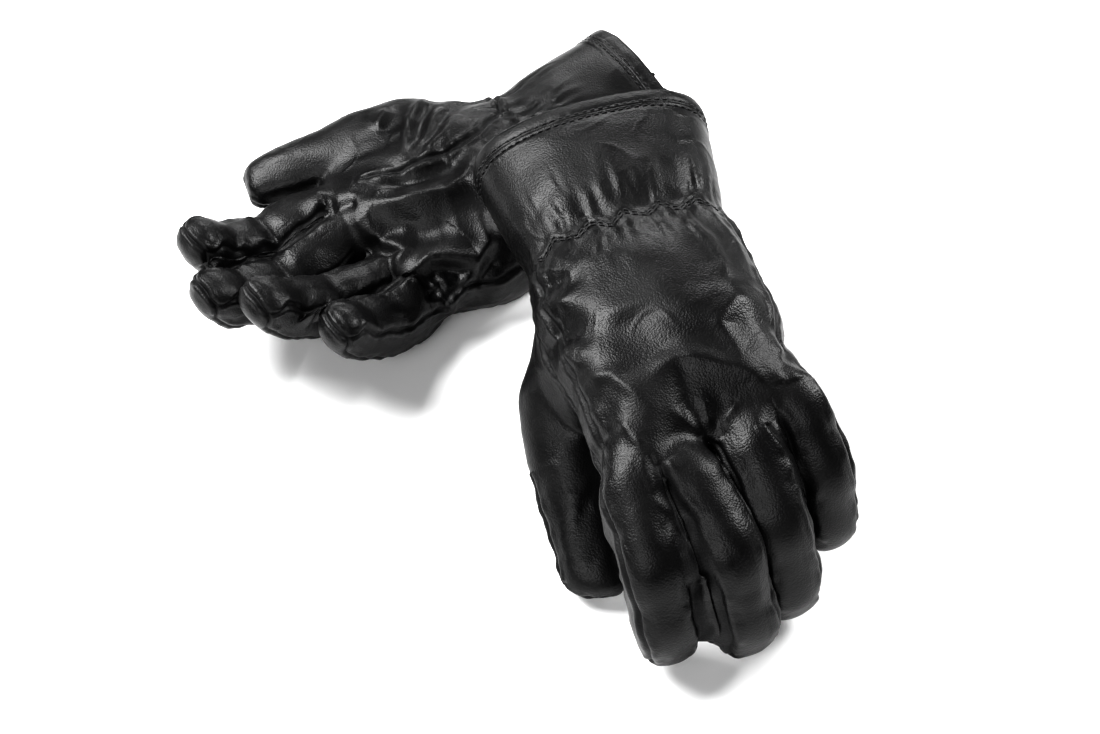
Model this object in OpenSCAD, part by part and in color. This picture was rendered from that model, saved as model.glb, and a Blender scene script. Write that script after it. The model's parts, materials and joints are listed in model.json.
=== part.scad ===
// A pair of black leather dress gloves. The left glove stands on its fingertips with its back
// up and its cuff over the heel of the right glove, which lies on its back with its palm up.
// Millimetres. X runs to the right, Y to the back and Z up, and both gloves rest on z = 0.
// Each glove is drawn in its own frame: x to the thumb side, y from the wrist to the fingers,
// z to the back of the hand, with its origin in the middle of the wrist. Bends are in degrees.

/* [Hand] */
// Length from the wrist elastic to the root of the middle finger
hand_l = 108; // [102:1:116]
// Half width of the hand at the finger roots
knuckle_hw = 49; // [47:1:52]
// Half width at the wrist
wrist_hw = 42; // [38:1:46]
// Half thickness at the finger roots
knuckle_hh = 15; // [13:1:18]
// Half thickness at the heel of the hand
heel_hh = 24; // [20:1:28]
// Half thickness at the wrist
wrist_hh = 22; // [18:1:26]

/* [Cuff] */
// Length from the wrist elastic to the hem
cuff_l = 62; // [40:1:80]
// Half width at the hem
cuff_hw = 53; // [44:1:56]
// Half thickness at the hem
cuff_hh = 29; // [22:1:34]
// Width of the turned hem band
hem_w = 8; // [5:0.5:12]
// Height of the steps in the wrist stitching
step_h = 7; // [3:0.5:10]
// Number of steps across the back of the wrist
step_count = 5; // [3:1:8]

/* [Fingers] */
// Lengths of the index finger's three sections, root to tip
index_l = [32, 27, 26]; // [18:1:40]
// Lengths of the middle finger's sections
middle_l = [35, 30, 27]; // [18:1:40]
// Lengths of the ring finger's sections
ring_l = [31, 29, 27]; // [18:1:40]
// Lengths of the little finger's sections
little_l = [25, 22, 25]; // [18:1:40]
// Distance between finger roots across the hand
finger_pitch = 24.7; // [24.5:0.1:26]
// Half width of a finger at its root
finger_hw = 11.9; // [10:0.1:12]
// Half height of a finger at its root
finger_hh = 12; // [10:0.1:13]
// Share of its root size that a finger keeps at its tip
finger_taper = 0.78; // [0.7:0.01:0.9]

/* [Thumb] */
// Distance from the thumb's pivot in the palm to its root hinge
thumb_set = 62; // [58:1:66]
// Lengths of the thumb's two sections
thumb_l = [27, 29]; // [20:1:36]
// Half width of the thumb at its root
thumb_hw = 14; // [12:0.5:15]
// Share of its root size that the thumb keeps at its tip
thumb_taper = 0.76; // [0.7:0.01:0.9]

/* [Leather and lining] */
// Thickness of the leather
leather_t = 1.2; // [0.8:0.1:1.6]
// Thickness of the knitted lining
lining_t = 0.8; // [0.5:0.1:1]
// Open width of each seam between two leather pieces
seam_gap = 0.4; // [0.3:0.1:0.8]
// Roundness of the cross-sections: 1 is an ellipse and less is squarer
roundness = 0.8; // [0.65:0.05:1]
// Thickness of the sewing thread
thread_d = 0.7; // [0.5:0.1:1]

/* [Lay of the left glove] */
// Middle of the wrist
left_pos = [28, 14, 77]; // [-200:1:200]
// Pitch, roll and yaw
left_turn = [-2, 8, 196]; // [-180:1:200]
// Bends of the index finger at its root, middle and tip hinges
left_index = [24, 42, 26]; // [0:1:70]
// Bends of the middle finger
left_middle = [25, 44, 27]; // [0:1:70]
// Bends of the ring finger
left_ring = [35, 38, 23]; // [0:1:70]
// Bends of the little finger
left_little = [46, 30, 18]; // [0:1:70]
// Lean of each finger to the little-finger side
left_lean = [1, 7, 5, 8]; // [0:1:8]
// The thumb's swing out from the hand, its rise towards the back, and its bend
left_thumb = [17, -26, 4]; // [-40:1:40]
// Sideways lean of the cuff
left_cuff_lean = -3; // [-15:1:15]

/* [Lay of the right glove] */
// Middle of the wrist
right_pos = [-8, 127, 26]; // [-200:1:200]
// Pitch, roll and yaw
right_turn = [-4, 165, 128]; // [-180:1:200]
// Bends of the index finger
right_index = [0, 39, 24]; // [0:1:70]
// Bends of the middle finger
right_middle = [1, 37, 22]; // [0:1:70]
// Bends of the ring finger
right_ring = [20, 25, 15]; // [0:1:70]
// Bends of the little finger
right_little = [26, 19, 11]; // [0:1:70]
// Lean of each finger to the little-finger side
right_lean = [2, 3, 1, 3]; // [0:1:8]
// The thumb's swing, rise and bend
right_thumb = [24, 8, 6]; // [-40:1:40]
// Sideways lean of the cuff
right_cuff_lean = -6; // [-15:1:15]

/* [Hidden] */

LEFT = 0;
RIGHT = 1;
INDEX = 0;
MIDDLE = 1;
RING = 2;
LITTLE = 3;
ROOT = 0;
MID = 1;
TIP = 2;
THUMB_TIP = 1;

// Middle of the pair's footprint, which is moved to the origin
PAIR_MIDDLE = [-24.8, 32.1, 0];
POS = [left_pos, right_pos];
TURN = [left_turn, right_turn];
LEAN = [left_lean, right_lean];
CUFF_LEAN = [left_cuff_lean, right_cuff_lean];
BENDS = [[left_index, left_middle, left_ring, left_little],
         [right_index, right_middle, right_ring, right_little]];
THUMB = [left_thumb, right_thumb];
LENGTHS = [index_l, middle_l, ring_l, little_l];

// Girth of each finger next to the others
GIRTH = [1, 1.01, 1, 0.93];
// Furthest bend of the root, middle and tip hinges, which sets how far the palm side is cut back
FINGER_BEND_MAX = [60, 70, 42];
THUMB_BEND_MAX = 55;
// Swing of the thumb out from the hand and in towards it
THUMB_SWING = [-25, 5];
// Angle of the thumb's tip hinge from the width of the thumb
THUMB_HINGE_TURN = 25;
// Clear distance from a hinge line to the section on each side of it
HINGE_GAP = 1.1;
// The knuckles lie on a shallow arc: fall per square millimetre away from the middle finger
KNUCKLE_FALL = 0.005;
KNUCKLE_DROP = 0.00125;
// Pivot of the thumb inside the heel of the hand
THUMB_PIVOT = [30, 12, -8];
// The way round the thumb, in degrees, that faces the palm of each glove
THUMB_INWARD = [110, 180];
// Where the gusset starts on its outer side, as a share of thumb_set
GUSSET_START = 0.28;

// Arcs of the hand's cross-section that each panel covers, 0 at the thumb side and 90 at the back
BACK_ARC = [25, 150];
OUTER_ARC = [150, 205];
PALM_ARC = [205, 340];
INDEX_ARC = [-20, 25];
// Arcs of a finger's back, two sides and palm face
FINGER_ARCS = [[35, 145], [145, 215], [215, 325], [-35, 35]];
// Columns of facets across each of those
FINGER_COLUMNS = [4, 2, 4, 2];

LEATHER = "#202022";
LEATHER_DARK = "#19191b";
LINING = "#34343a";
ELASTIC = "#4a4a50";
THREAD = "#0e0e10";

function lerp(a, b, t) = a + (b - a) * t;
function rx(v, t) = [v[0], v[1] * cos(t) - v[2] * sin(t), v[1] * sin(t) + v[2] * cos(t)];
function ry(v, t) = [v[0] * cos(t) + v[2] * sin(t), v[1], v[2] * cos(t) - v[0] * sin(t)];
function rz(v, t) = [v[0] * cos(t) - v[1] * sin(t), v[0] * sin(t) + v[1] * cos(t), v[2]];
// A point of a glove's own frame in the pair's frame; the right glove is the mirror image
function flip(g) = g == LEFT ? 1 : -1;
function turned(g, v) = rz(rx(ry([flip(g) * v[0], v[1], v[2]], TURN[g][1]), TURN[g][0]), TURN[g][2]);
function place(g, v) = POS[g] - PAIR_MIDDLE + turned(g, v);
// Leather that would sag below the floor lies flat on it, lift above it
function laid(g, v, lift) = let (p = place(g, v)) [p[0], p[1], max(p[2], lift)];
// Room that the leather leaves under the cuff for the hem band and the stitches to lie on the floor
function floor_room(y) = lookup(y, [[-cuff_l, 2 * leather_t], [-cuff_l / 2, thread_d + 0.2],
                                    [20, thread_d + 0.2], [36, 0]]);
// Squared ellipse: the unit point at angle a
function soft(t) = sign(t) * pow(abs(t), roundness);
function round_point(a) = [soft(cos(a)), soft(sin(a))];
// Half of a seam's gap as an angle on a section of half width w
function seam_angle(w) = 0.5 * seam_gap / w * 180 / PI;

// Half width of the hand and cuff at y on the thumb side and on the outer side
function index_hw(y) = lookup(y, [[-cuff_l, cuff_hw], [0, wrist_hw], [0.28 * hand_l, wrist_hw + 2],
                                  [0.6 * hand_l, wrist_hw - 3], [hand_l, knuckle_hw]]);
function outer_hw(y) = lookup(y, [[-cuff_l, cuff_hw], [0, wrist_hw], [0.5 * hand_l, knuckle_hw - 2],
                                  [hand_l, knuckle_hw]]);
function hand_hh(y) = lookup(y, [[-cuff_l, cuff_hh], [0, wrist_hh], [0.3 * hand_l, heel_hh],
                                 [hand_l, knuckle_hh]]);
// The cuff turns sideways as it leaves the wrist
function cuff_turned(g, v) =
    let (k = max(0, -v[1]) * sin(CUFF_LEAN[g]))
    [v[0] + k, v[1] + v[0] * k / cuff_l, v[2]];
// Point on the hand at y and angle a, depth under the outer surface
function hand_point(g, y, a, depth) =
    let (r = round_point(a), hw = (r[0] > 0 ? index_hw(y) : outer_hw(y)) - depth)
    cuff_turned(g, [hw * r[0], y, (hand_hh(y) - depth) * r[1]]);

// Where the finger roots lie
function knuckle_y(x) = hand_l - KNUCKLE_FALL * pow(x - finger_pitch / 2, 2);
function knuckle_z(x) = -KNUCKLE_DROP * pow(x - finger_pitch / 2, 2);
function root_x(f) = (1.5 - f) * finger_pitch;
function root(f) = [root_x(f), knuckle_y(root_x(f)), knuckle_z(root_x(f))];
// How far a section stops short of its hinge, c to the palm side of the hinge line
function setback(c, bend_max) = HINGE_GAP + max(0, c) * tan(bend_max / 2);
// Front edge of the hand at angle a, cut back on the palm side for the fingers to close
function hand_end(a) =
    let (r = round_point(a), x = knuckle_hw * r[0])
    knuckle_y(x) - setback(-knuckle_hh * r[1], FINGER_BEND_MAX[0]);

// A point of finger f's section s in the glove's frame
function finger_place(g, f, s, v) =
    s == ROOT ? root(f) + rz(rx(v, -BENDS[g][f][0]), LEAN[g][f])
    : finger_place(g, f, s - 1, [0, LENGTHS[f][s - 1], 0] + rx(v, -BENDS[g][f][s]));
function finger_total(f) = LENGTHS[f][0] + LENGTHS[f][1] + LENGTHS[f][2];
function finger_before(f, s) = s == ROOT ? 0 : LENGTHS[f][s - 1] + finger_before(f, s - 1);
// Half width and half height of finger f, t of the way along it
function finger_half(f, t) = GIRTH[f] * lerp(1, finger_taper, t) * [finger_hw, finger_hh * (1 - 0.12 * t)];
// The end of a fingertip closes in a round: its girth at u along the section
function dome(u, start) = u < start ? 1 : sqrt(1 - 0.96 * pow((u - start) / (1 - start), 2));
function finger_point(g, f, s, u, a, depth) =
    let (length = LENGTHS[f][s],
         half = finger_half(f, (finger_before(f, s) + u * length) / finger_total(f)),
         r = round_point(a),
         c = -half[1] * r[1],
         y0 = setback(c, FINGER_BEND_MAX[s]),
         y1 = s == TIP ? length - depth : length - setback(c, FINGER_BEND_MAX[s + 1]),
         k = s == TIP ? dome(u, 0.5) : 1)
    finger_place(g, f, s, [k * (half[0] - depth) * r[0], lerp(y0, y1, u), k * (half[1] - depth) * r[1]]);

// The thumb's tip bends across the palm, about a line turned from its width
function thumb_bend(v, t) = let (k = 90 - THUMB_HINGE_TURN) ry(rz(ry(v, k), t), -k);
function thumb_frame(g, v) = THUMB_PIVOT + rz(rx(v, THUMB[g][1]), -THUMB[g][0]);
function thumb_place(g, s, v) =
    s == ROOT ? thumb_frame(g, [0, thumb_set, 0] + v)
    : thumb_place(g, ROOT, [0, thumb_l[0], 0] + thumb_bend(v, THUMB[g][2]));
// The thumb's root swings both ways, so both of its sides are cut back, x to the thumb side
function thumb_root_setback(x) = setback(abs(x), x > 0 ? -THUMB_SWING[0] : THUMB_SWING[1]);
function thumb_half(t) = lerp(1, thumb_taper, t) * thumb_hw * [1, 0.88];
function thumb_point(g, s, u, a, depth) =
    let (length = thumb_l[s],
         half = thumb_half((u * length + s * thumb_l[0]) / (thumb_l[0] + thumb_l[1])),
         r = round_point(a),
         c = -half[0] * r[0] * sin(THUMB_HINGE_TURN) - half[1] * r[1] * cos(THUMB_HINGE_TURN),
         y0 = s == ROOT ? thumb_root_setback(half[0] * r[0]) : setback(c, THUMB_BEND_MAX),
         y1 = s == THUMB_TIP ? length - depth : length - setback(c, THUMB_BEND_MAX),
         k = s == THUMB_TIP ? dome(u, 0.55) : 1)
    thumb_place(g, s, [k * (half[0] - depth) * r[0], lerp(y0, y1, u), k * (half[1] - depth) * r[1]]);
// The thumb's root inside its gusset, which starts further out on the side that meets the palm
function gusset_point(g, u, a, depth) =
    let (half = thumb_half(0),
         r = round_point(a),
         y1 = thumb_set - thumb_root_setback(half[0] * r[0]),
         y0 = lerp(thumb_set * GUSSET_START, y1 - 3, 0.5 + 0.5 * cos(a - THUMB_INWARD[g])))
    thumb_frame(g, [(half[0] - depth) * r[0], lerp(y0, y1, u), (half[1] - depth) * r[1]]);

// Triangles of a grid of rows by columns whose first point is number first
function grid(rows, columns, first) = [for (i = [0:rows - 1]) for (j = [0:columns - 1])
    let (a = first + i * (columns + 1) + j, b = a + columns + 1)
    each [[a, a + 1, b + 1], [a, b + 1, b]]];
function reversed(faces) = [for (f = faces) [f[2], f[1], f[0]]];
// Triangles that close the edge between two rims, given as lists of point numbers
function wall(p, q) = [for (i = [0:len(p) - 2]) each [[p[i + 1], p[i], q[i]], [p[i + 1], q[i], q[i + 1]]]];

// A leather panel: shape(u, a, depth) over stations of u and an arc of angles a
module panel(g, shape, stations, arc, columns, trim, top = 0, bottom = leather_t) {
    rows = len(stations) - 1;
    count = (rows + 1) * (columns + 1);
    angles = [for (j = [0:columns]) lerp(arc[0] + trim, arc[1] - trim, j / columns)];
    points = [for (depth = [top, bottom]) for (u = stations) for (a = angles)
        let (v = shape(u, a, depth)) laid(g, v, top < 0 ? depth - top : depth + floor_room(v[1]))];
    near = [for (j = [0:columns]) j];
    far = [for (j = [columns:-1:0]) rows * (columns + 1) + j];
    first = [for (i = [rows:-1:0]) i * (columns + 1)];
    last = [for (i = [0:rows]) i * (columns + 1) + columns];
    shift = function (list) [for (k = list) k + count];
    faces = concat(grid(rows, columns, 0), reversed(grid(rows, columns, count)),
                   wall(near, shift(near)), wall(far, shift(far)),
                   wall(first, shift(first)), wall(last, shift(last)));
    polyhedron(points, g == LEFT ? faces : reversed(faces), convexity = 6);
}

// A panel of the hand from y0 to y1, or to the finger roots
module hand_panel(g, y0, y1, arc, rows, columns, top = 0, bottom = leather_t, margin = 0) {
    shape = function (u, a, depth)
        hand_point(g, lerp(y0, (is_undef(y1) ? hand_end(a) : y1) - margin, u), a, depth);
    stations = [for (i = [0:rows]) i / rows];
    panel(g, shape, stations, arc, columns, seam_angle(wrist_hw), top, bottom);
}

// The way from the hand into the thumb, cut through the leather and the lining
module thumb_hole(g) {
    sides = 12;
    half = thumb_half(0) - [1, 1] * (leather_t + 2.5);
    points = [for (t = [8, thumb_set - 6]) for (k = [0:sides - 1])
        let (a = k * 360 / sides) place(g, thumb_frame(g, [half[0] * cos(a), t, half[1] * sin(a)]))];
    around = [for (k = [0:sides - 1]) let (n = (k + 1) % sides)
        each [[k, n, n + sides], [k, n + sides, k + sides]]];
    ends = [for (k = [1:sides - 2]) each [[0, k + 1, k], [sides, sides + k, sides + k + 1]]];
    faces = concat(around, ends);
    polyhedron(points, g == LEFT ? faces : reversed(faces), convexity = 2);
}

module back_panel(g) {
    color(LEATHER) hand_panel(g, seam_gap, undef, BACK_ARC, 6, 10);
}
module palm_panel(g) {
    color(LEATHER) difference() {
        hand_panel(g, seam_gap, undef, PALM_ARC, 6, 10);
        thumb_hole(g);
    }
}
module index_side_strip(g) {
    color(LEATHER_DARK) difference() {
        hand_panel(g, seam_gap, undef, INDEX_ARC, 6, 3);
        thumb_hole(g);
    }
}
module outer_side_strip(g) {
    color(LEATHER_DARK) hand_panel(g, seam_gap, undef, OUTER_ARC, 6, 3);
}
// The thumb's root, sewn into the side of the hand
module thumb_gusset(g) {
    color(LEATHER) for (k = [0:3])
        panel(g, function (u, a, depth) gusset_point(g, u, a, depth), [0, 1],
              FINGER_ARCS[k], FINGER_COLUMNS[k], seam_angle(thumb_hw));
}
// Three small gussets between the roots of neighbouring fingers
module finger_webs(g) {
    web_w = 1.6;
    web_h = 8;
    web_l = 14;
    color(LEATHER_DARK) for (k = [-1:1]) {
        x = k * finger_pitch;
        shape = function (u, a, depth)
            let (z = lerp(-web_h, web_h, a), end = knuckle_y(x) - 1.5 - setback(-z, FINGER_BEND_MAX[0]))
            [x + (depth > 0 ? -web_w : web_w) * 0.5, lerp(end - web_l, end, u), z + knuckle_z(x)];
        panel(g, shape, [0, 1], [0, 1], 2, 0);
    }
}
module cuff_back(g) {
    color(LEATHER) hand_panel(g, -cuff_l + 1, -seam_gap, [1, 179], 3, 12);
}
module cuff_palm(g) {
    color(LEATHER) hand_panel(g, -cuff_l + 1, -seam_gap, [181, 359], 3, 12);
}
// The doubled band around the mouth of the cuff
module hem_binding(g) {
    color(LEATHER_DARK) hand_panel(g, -cuff_l, -cuff_l + hem_w, [0.5, 359.5], 1, 24, -leather_t - 0.5, -0.5);
}
// The elastic band under the gathers at the wrist
module wrist_elastic(g) {
    color(ELASTIC) hand_panel(g, -4, 4, [1, 359], 2, 32, leather_t + 0.6, leather_t + 1.2);
}

// One line of stitching: a square thread along route(t), from t = 0 to 1, on the surface
module thread(g, route, steps) {
    rim = [[0, 1], [1, 0], [0, -1], [-1, 0]] * thread_d / 2;
    lift = thread_d / 2 + 0.1;
    points = [for (i = [0:steps]) for (c = rim)
        let (ya = route(i / steps), p = hand_point(g, ya[0] + c[0], ya[1], -lift - c[1]))
        laid(g, p, thread_d / 2 - c[1])];
    n = steps * 4;
    sides = [for (i = [0:steps - 1]) for (j = [0:3])
        let (a = 4 * i + j, b = 4 * i + (j + 1) % 4)
        each [[a, a + 4, b + 4], [a, b + 4, b]]];
    faces = concat(sides, [[0, 1, 2], [0, 2, 3], [n + 2, n + 1, n], [n + 3, n + 2, n]]);
    polyhedron(points, g == LEFT ? reversed(faces) : faces, convexity = 6);
}
// The wave of the wrist stitching: flat, up, flat, down
function wave(t) = let (w = (t * step_count) % 1)
    w < 0.25 ? 0 : w < 0.5 ? (w - 0.25) * 4 : w < 0.75 ? 1 : (1 - w) * 4;
module wrist_stitching(g) {
    row_gap = 2;
    color(THREAD) for (row = [0, 1])
        thread(g, function (t) [row * row_gap + 5 + (wave(t) - 0.5) * step_h, lerp(30, 145, t)],
               step_count * 4);
}
module hem_stitching(g) {
    color(THREAD) for (side = [0, 1])
        thread(g, function (t) [-cuff_l + hem_w + 1.5, side * 180 + lerp(8, 172, t)], 20);
}
module hand_lining(g) {
    top = leather_t + 2;
    color(LINING) difference() {
        for (arc = [[1, 179], [181, 359]])
            hand_panel(g, 5, undef, arc, 3, 10, top, top + lining_t, 6);
        thumb_hole(g);
    }
}
module cuff_lining(g) {
    top = leather_t + 2;
    color(LINING) for (arc = [[1, 179], [181, 359]])
        hand_panel(g, -cuff_l + 2, -5, arc, 2, 10, top, top + lining_t);
}

// One section of a finger: back, palm face and the two fourchettes at its sides
module finger_section(g, f, s) {
    stations = s == TIP ? [0, 0.5, 0.75, 0.9, 1] : [0, 1];
    color(LEATHER) for (k = [0:3])
        panel(g, function (u, a, depth) finger_point(g, f, s, u, a, depth), stations,
              FINGER_ARCS[k], FINGER_COLUMNS[k], seam_angle(finger_hw));
}
module thumb_section(g, s) {
    stations = s == THUMB_TIP ? [0, 0.55, 0.78, 0.92, 1] : [0, 1];
    color(LEATHER) for (k = [0:3])
        panel(g, function (u, a, depth) thumb_point(g, s, u, a, depth), stations,
              FINGER_ARCS[k], FINGER_COLUMNS[k], seam_angle(thumb_hw));
}

back_panel(LEFT);  // left_back_panel
palm_panel(LEFT);  // left_palm_panel
index_side_strip(LEFT);  // left_index_side_strip
outer_side_strip(LEFT);  // left_outer_side_strip
thumb_gusset(LEFT);  // left_thumb_gusset
finger_webs(LEFT);  // left_finger_webs
cuff_back(LEFT);  // left_cuff_back
cuff_palm(LEFT);  // left_cuff_palm
hem_binding(LEFT);  // left_hem_binding
wrist_elastic(LEFT);  // left_wrist_elastic
wrist_stitching(LEFT);  // left_wrist_stitching
hem_stitching(LEFT);  // left_hem_stitching
hand_lining(LEFT);  // left_hand_lining
cuff_lining(LEFT);  // left_cuff_lining
finger_section(LEFT, INDEX, ROOT);  // left_index_root
finger_section(LEFT, INDEX, MID);  // left_index_mid
finger_section(LEFT, INDEX, TIP);  // left_index_tip
finger_section(LEFT, MIDDLE, ROOT);  // left_middle_root
finger_section(LEFT, MIDDLE, MID);  // left_middle_mid
finger_section(LEFT, MIDDLE, TIP);  // left_middle_tip
finger_section(LEFT, RING, ROOT);  // left_ring_root
finger_section(LEFT, RING, MID);  // left_ring_mid
finger_section(LEFT, RING, TIP);  // left_ring_tip
finger_section(LEFT, LITTLE, ROOT);  // left_little_root
finger_section(LEFT, LITTLE, MID);  // left_little_mid
finger_section(LEFT, LITTLE, TIP);  // left_little_tip
thumb_section(LEFT, ROOT);  // left_thumb_root
thumb_section(LEFT, THUMB_TIP);  // left_thumb_tip
back_panel(RIGHT);  // right_back_panel
palm_panel(RIGHT);  // right_palm_panel
index_side_strip(RIGHT);  // right_index_side_strip
outer_side_strip(RIGHT);  // right_outer_side_strip
thumb_gusset(RIGHT);  // right_thumb_gusset
finger_webs(RIGHT);  // right_finger_webs
cuff_back(RIGHT);  // right_cuff_back
cuff_palm(RIGHT);  // right_cuff_palm
hem_binding(RIGHT);  // right_hem_binding
wrist_elastic(RIGHT);  // right_wrist_elastic
wrist_stitching(RIGHT);  // right_wrist_stitching
hem_stitching(RIGHT);  // right_hem_stitching
hand_lining(RIGHT);  // right_hand_lining
cuff_lining(RIGHT);  // right_cuff_lining
finger_section(RIGHT, INDEX, ROOT);  // right_index_root
finger_section(RIGHT, INDEX, MID);  // right_index_mid
finger_section(RIGHT, INDEX, TIP);  // right_index_tip
finger_section(RIGHT, MIDDLE, ROOT);  // right_middle_root
finger_section(RIGHT, MIDDLE, MID);  // right_middle_mid
finger_section(RIGHT, MIDDLE, TIP);  // right_middle_tip
finger_section(RIGHT, RING, ROOT);  // right_ring_root
finger_section(RIGHT, RING, MID);  // right_ring_mid
finger_section(RIGHT, RING, TIP);  // right_ring_tip
finger_section(RIGHT, LITTLE, ROOT);  // right_little_root
finger_section(RIGHT, LITTLE, MID);  // right_little_mid
finger_section(RIGHT, LITTLE, TIP);  // right_little_tip
thumb_section(RIGHT, ROOT);  // right_thumb_root
thumb_section(RIGHT, THUMB_TIP);  // right_thumb_tip
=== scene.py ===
# %% [markdown]
# # A pair of black leather gloves
# This lesson dresses a jointed model of two gloves in leather. The model gives the places: the
# wrist, the line of knuckles, and a hinge at every fold of every finger. The leather is made here.
# A glove could be sculpted by hand in one go, or sewn flat and inflated. Here it is built the way
# a glove is thought of: first a plain straight form, then folds, then the fingers are bent over
# their hinges, then the seams are sunk in. Each vertex remembers its place on the straight form,
# so every fold and seam can be placed there with a few simple numbers, in millimetres.

# %% Load the jointed model
import json
import math

import bpy
import numpy as np
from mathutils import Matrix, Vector, noise
from mathutils.bvhtree import BVHTree


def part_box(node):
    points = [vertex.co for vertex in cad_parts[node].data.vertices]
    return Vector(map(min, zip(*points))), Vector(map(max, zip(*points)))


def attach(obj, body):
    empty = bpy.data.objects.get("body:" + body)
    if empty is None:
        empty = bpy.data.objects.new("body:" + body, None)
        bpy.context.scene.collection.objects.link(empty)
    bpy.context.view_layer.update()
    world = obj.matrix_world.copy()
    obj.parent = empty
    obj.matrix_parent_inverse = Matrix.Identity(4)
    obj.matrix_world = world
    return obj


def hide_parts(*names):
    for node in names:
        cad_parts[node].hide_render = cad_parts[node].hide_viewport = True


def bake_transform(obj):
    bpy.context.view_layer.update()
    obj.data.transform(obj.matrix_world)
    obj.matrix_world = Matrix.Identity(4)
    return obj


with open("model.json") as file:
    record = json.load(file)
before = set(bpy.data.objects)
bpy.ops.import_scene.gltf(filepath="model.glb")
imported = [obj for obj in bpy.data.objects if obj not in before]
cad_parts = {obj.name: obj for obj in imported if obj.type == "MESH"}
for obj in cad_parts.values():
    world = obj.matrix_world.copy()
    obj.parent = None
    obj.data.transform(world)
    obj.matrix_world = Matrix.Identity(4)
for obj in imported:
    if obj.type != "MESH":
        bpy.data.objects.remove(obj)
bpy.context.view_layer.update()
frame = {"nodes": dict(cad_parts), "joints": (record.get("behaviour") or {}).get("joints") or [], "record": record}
joints = {j["name"]: j for j in frame["joints"]}
mounts = {m["name"]: m for m in frame["record"]["mounts"]}
MM = 0.001
FINGERS = ("index", "middle", "ring", "little")

# %% [markdown]
# ## Camera, floor and lights
# The gloves are seen from above at 48 degrees through a normal 50 mm lens, which keeps the near
# fingertips from looking too large. The floor is a plain white sheet. Black leather shows only what
# it mirrors, so the lights matter more than its colour: broad soft panels give broad soft
# highlights. A lit room all around would turn the leather grey, so the room itself stays dim. The
# picture's contrast and exposure are raised too, which keeps the paper white and the leather deep.

# %% Camera
CAMERA_TARGET = Vector((0.0207, -0.0396, 0.030))
CAMERA_RISE = math.radians(47.7)
CAMERA_DISTANCE = 0.6423

camera = bpy.data.objects.new("camera", bpy.data.cameras.new("camera"))
bpy.context.scene.collection.objects.link(camera)
camera.data.lens = 50
camera.data.sensor_width = 36
away = Vector((0, -math.cos(CAMERA_RISE), math.sin(CAMERA_RISE)))
camera.location = CAMERA_TARGET + away * CAMERA_DISTANCE
camera.rotation_euler = away.to_track_quat("Z", "Y").to_euler()
bpy.context.scene.camera = camera
print("camera stands at", [round(v, 3) for v in camera.location])


# %% Floor and lights
def soft_light(name, place, aim, size, watts):
    """A square soft panel at place, turned to face aim."""
    lamp = bpy.data.objects.new(name, bpy.data.lights.new(name, "AREA"))
    bpy.context.scene.collection.objects.link(lamp)
    lamp.data.shape = "RECTANGLE"
    lamp.data.size, lamp.data.size_y = size
    lamp.data.energy = watts
    lamp.location = place
    lamp.rotation_euler = (Vector(place) - Vector(aim)).to_track_quat("Z", "Y").to_euler()
    return lamp


def plain_material(name, colour, roughness):
    material = bpy.data.materials.new(name)
    material.use_nodes = True
    shader = material.node_tree.nodes["Principled BSDF"]
    shader.inputs["Base Color"].default_value = (*colour, 1)
    shader.inputs["Roughness"].default_value = roughness
    return material


FLOOR_HALF = 2.5
floor_mesh = bpy.data.meshes.new("floor")
floor_mesh.from_pydata([(-FLOOR_HALF, -FLOOR_HALF, 0), (FLOOR_HALF, -FLOOR_HALF, 0),
                        (FLOOR_HALF, FLOOR_HALF, 0), (-FLOOR_HALF, FLOOR_HALF, 0)], [], [(0, 1, 2, 3)])
floor = bpy.data.objects.new("floor", floor_mesh)
bpy.context.scene.collection.objects.link(floor)
floor_mesh.materials.append(plain_material("floor_paper", (0.93, 0.93, 0.93), 0.9))

world = bpy.data.worlds.new("room")
bpy.context.scene.world = world
world.use_nodes = True
world.node_tree.nodes["Background"].inputs["Color"].default_value = (1, 1, 1, 1)
world.node_tree.nodes["Background"].inputs["Strength"].default_value = 0.06
bpy.context.scene.view_settings.view_transform = "Standard"
bpy.context.scene.view_settings.look = "High Contrast"
bpy.context.scene.view_settings.exposure = 0.55

soft_light("left_panel", (-0.7, 0.15, 0.95), (0, 0, 0.05), (0.6, 0.6), 17)
soft_light("right_panel", (0.85, 0.35, 0.8), (0, 0, 0.05), (0.35, 0.35), 8)
soft_light("back_panel", (0.05, 1.2, 0.75), (0, 0, 0.05), (0.7, 0.25), 5)
soft_light("front_panel", (-0.35, -1.1, 0.9), (0, 0, 0.05), (0.9, 0.6), 6)
print("floor and four soft panels are up")

# %% [markdown]
# ## Reading the skeleton
# A hinge knows where it is, which way it turns and how far it may open. Its lower limit is where
# the finger is straight, so the bend at rest is the limit with its sign turned. The same holds for
# the frame of the hand: the cuff's axis gives its length, and any finger's hinge gives its back.
# Reading all this from the model keeps the leather on the hinges, and nothing is typed twice.


# %% The hand's own frame, and its fingers in it
def unit(v):
    v = np.asarray(v, float)
    return v / np.linalg.norm(v)


def turn(points, axis, angle, centre=(0, 0, 0)):
    """Points turned about an axis through centre; angle may be one number per point."""
    axis, centre = unit(axis), np.asarray(centre, float)
    p = points - centre
    angle = np.broadcast_to(angle, len(p))[:, None]
    along = (p @ axis)[:, None] * axis
    return centre + along + (p - along) * np.cos(angle) + np.cross(axis, p) * np.sin(angle)


def reach(node, start, direction):
    """How far a node of the model goes from start along direction, in millimetres."""
    points = np.array([v.co for v in frame["nodes"][node].data.vertices]) / MM
    return ((points - start) @ direction).max()


TIP_ROOM = 2.5
# Degrees that a limp fingertip is pushed further in towards the thumb than its hinges point
TUCK = {"left_little": 6.0, "left_ring": 1.5}


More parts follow.
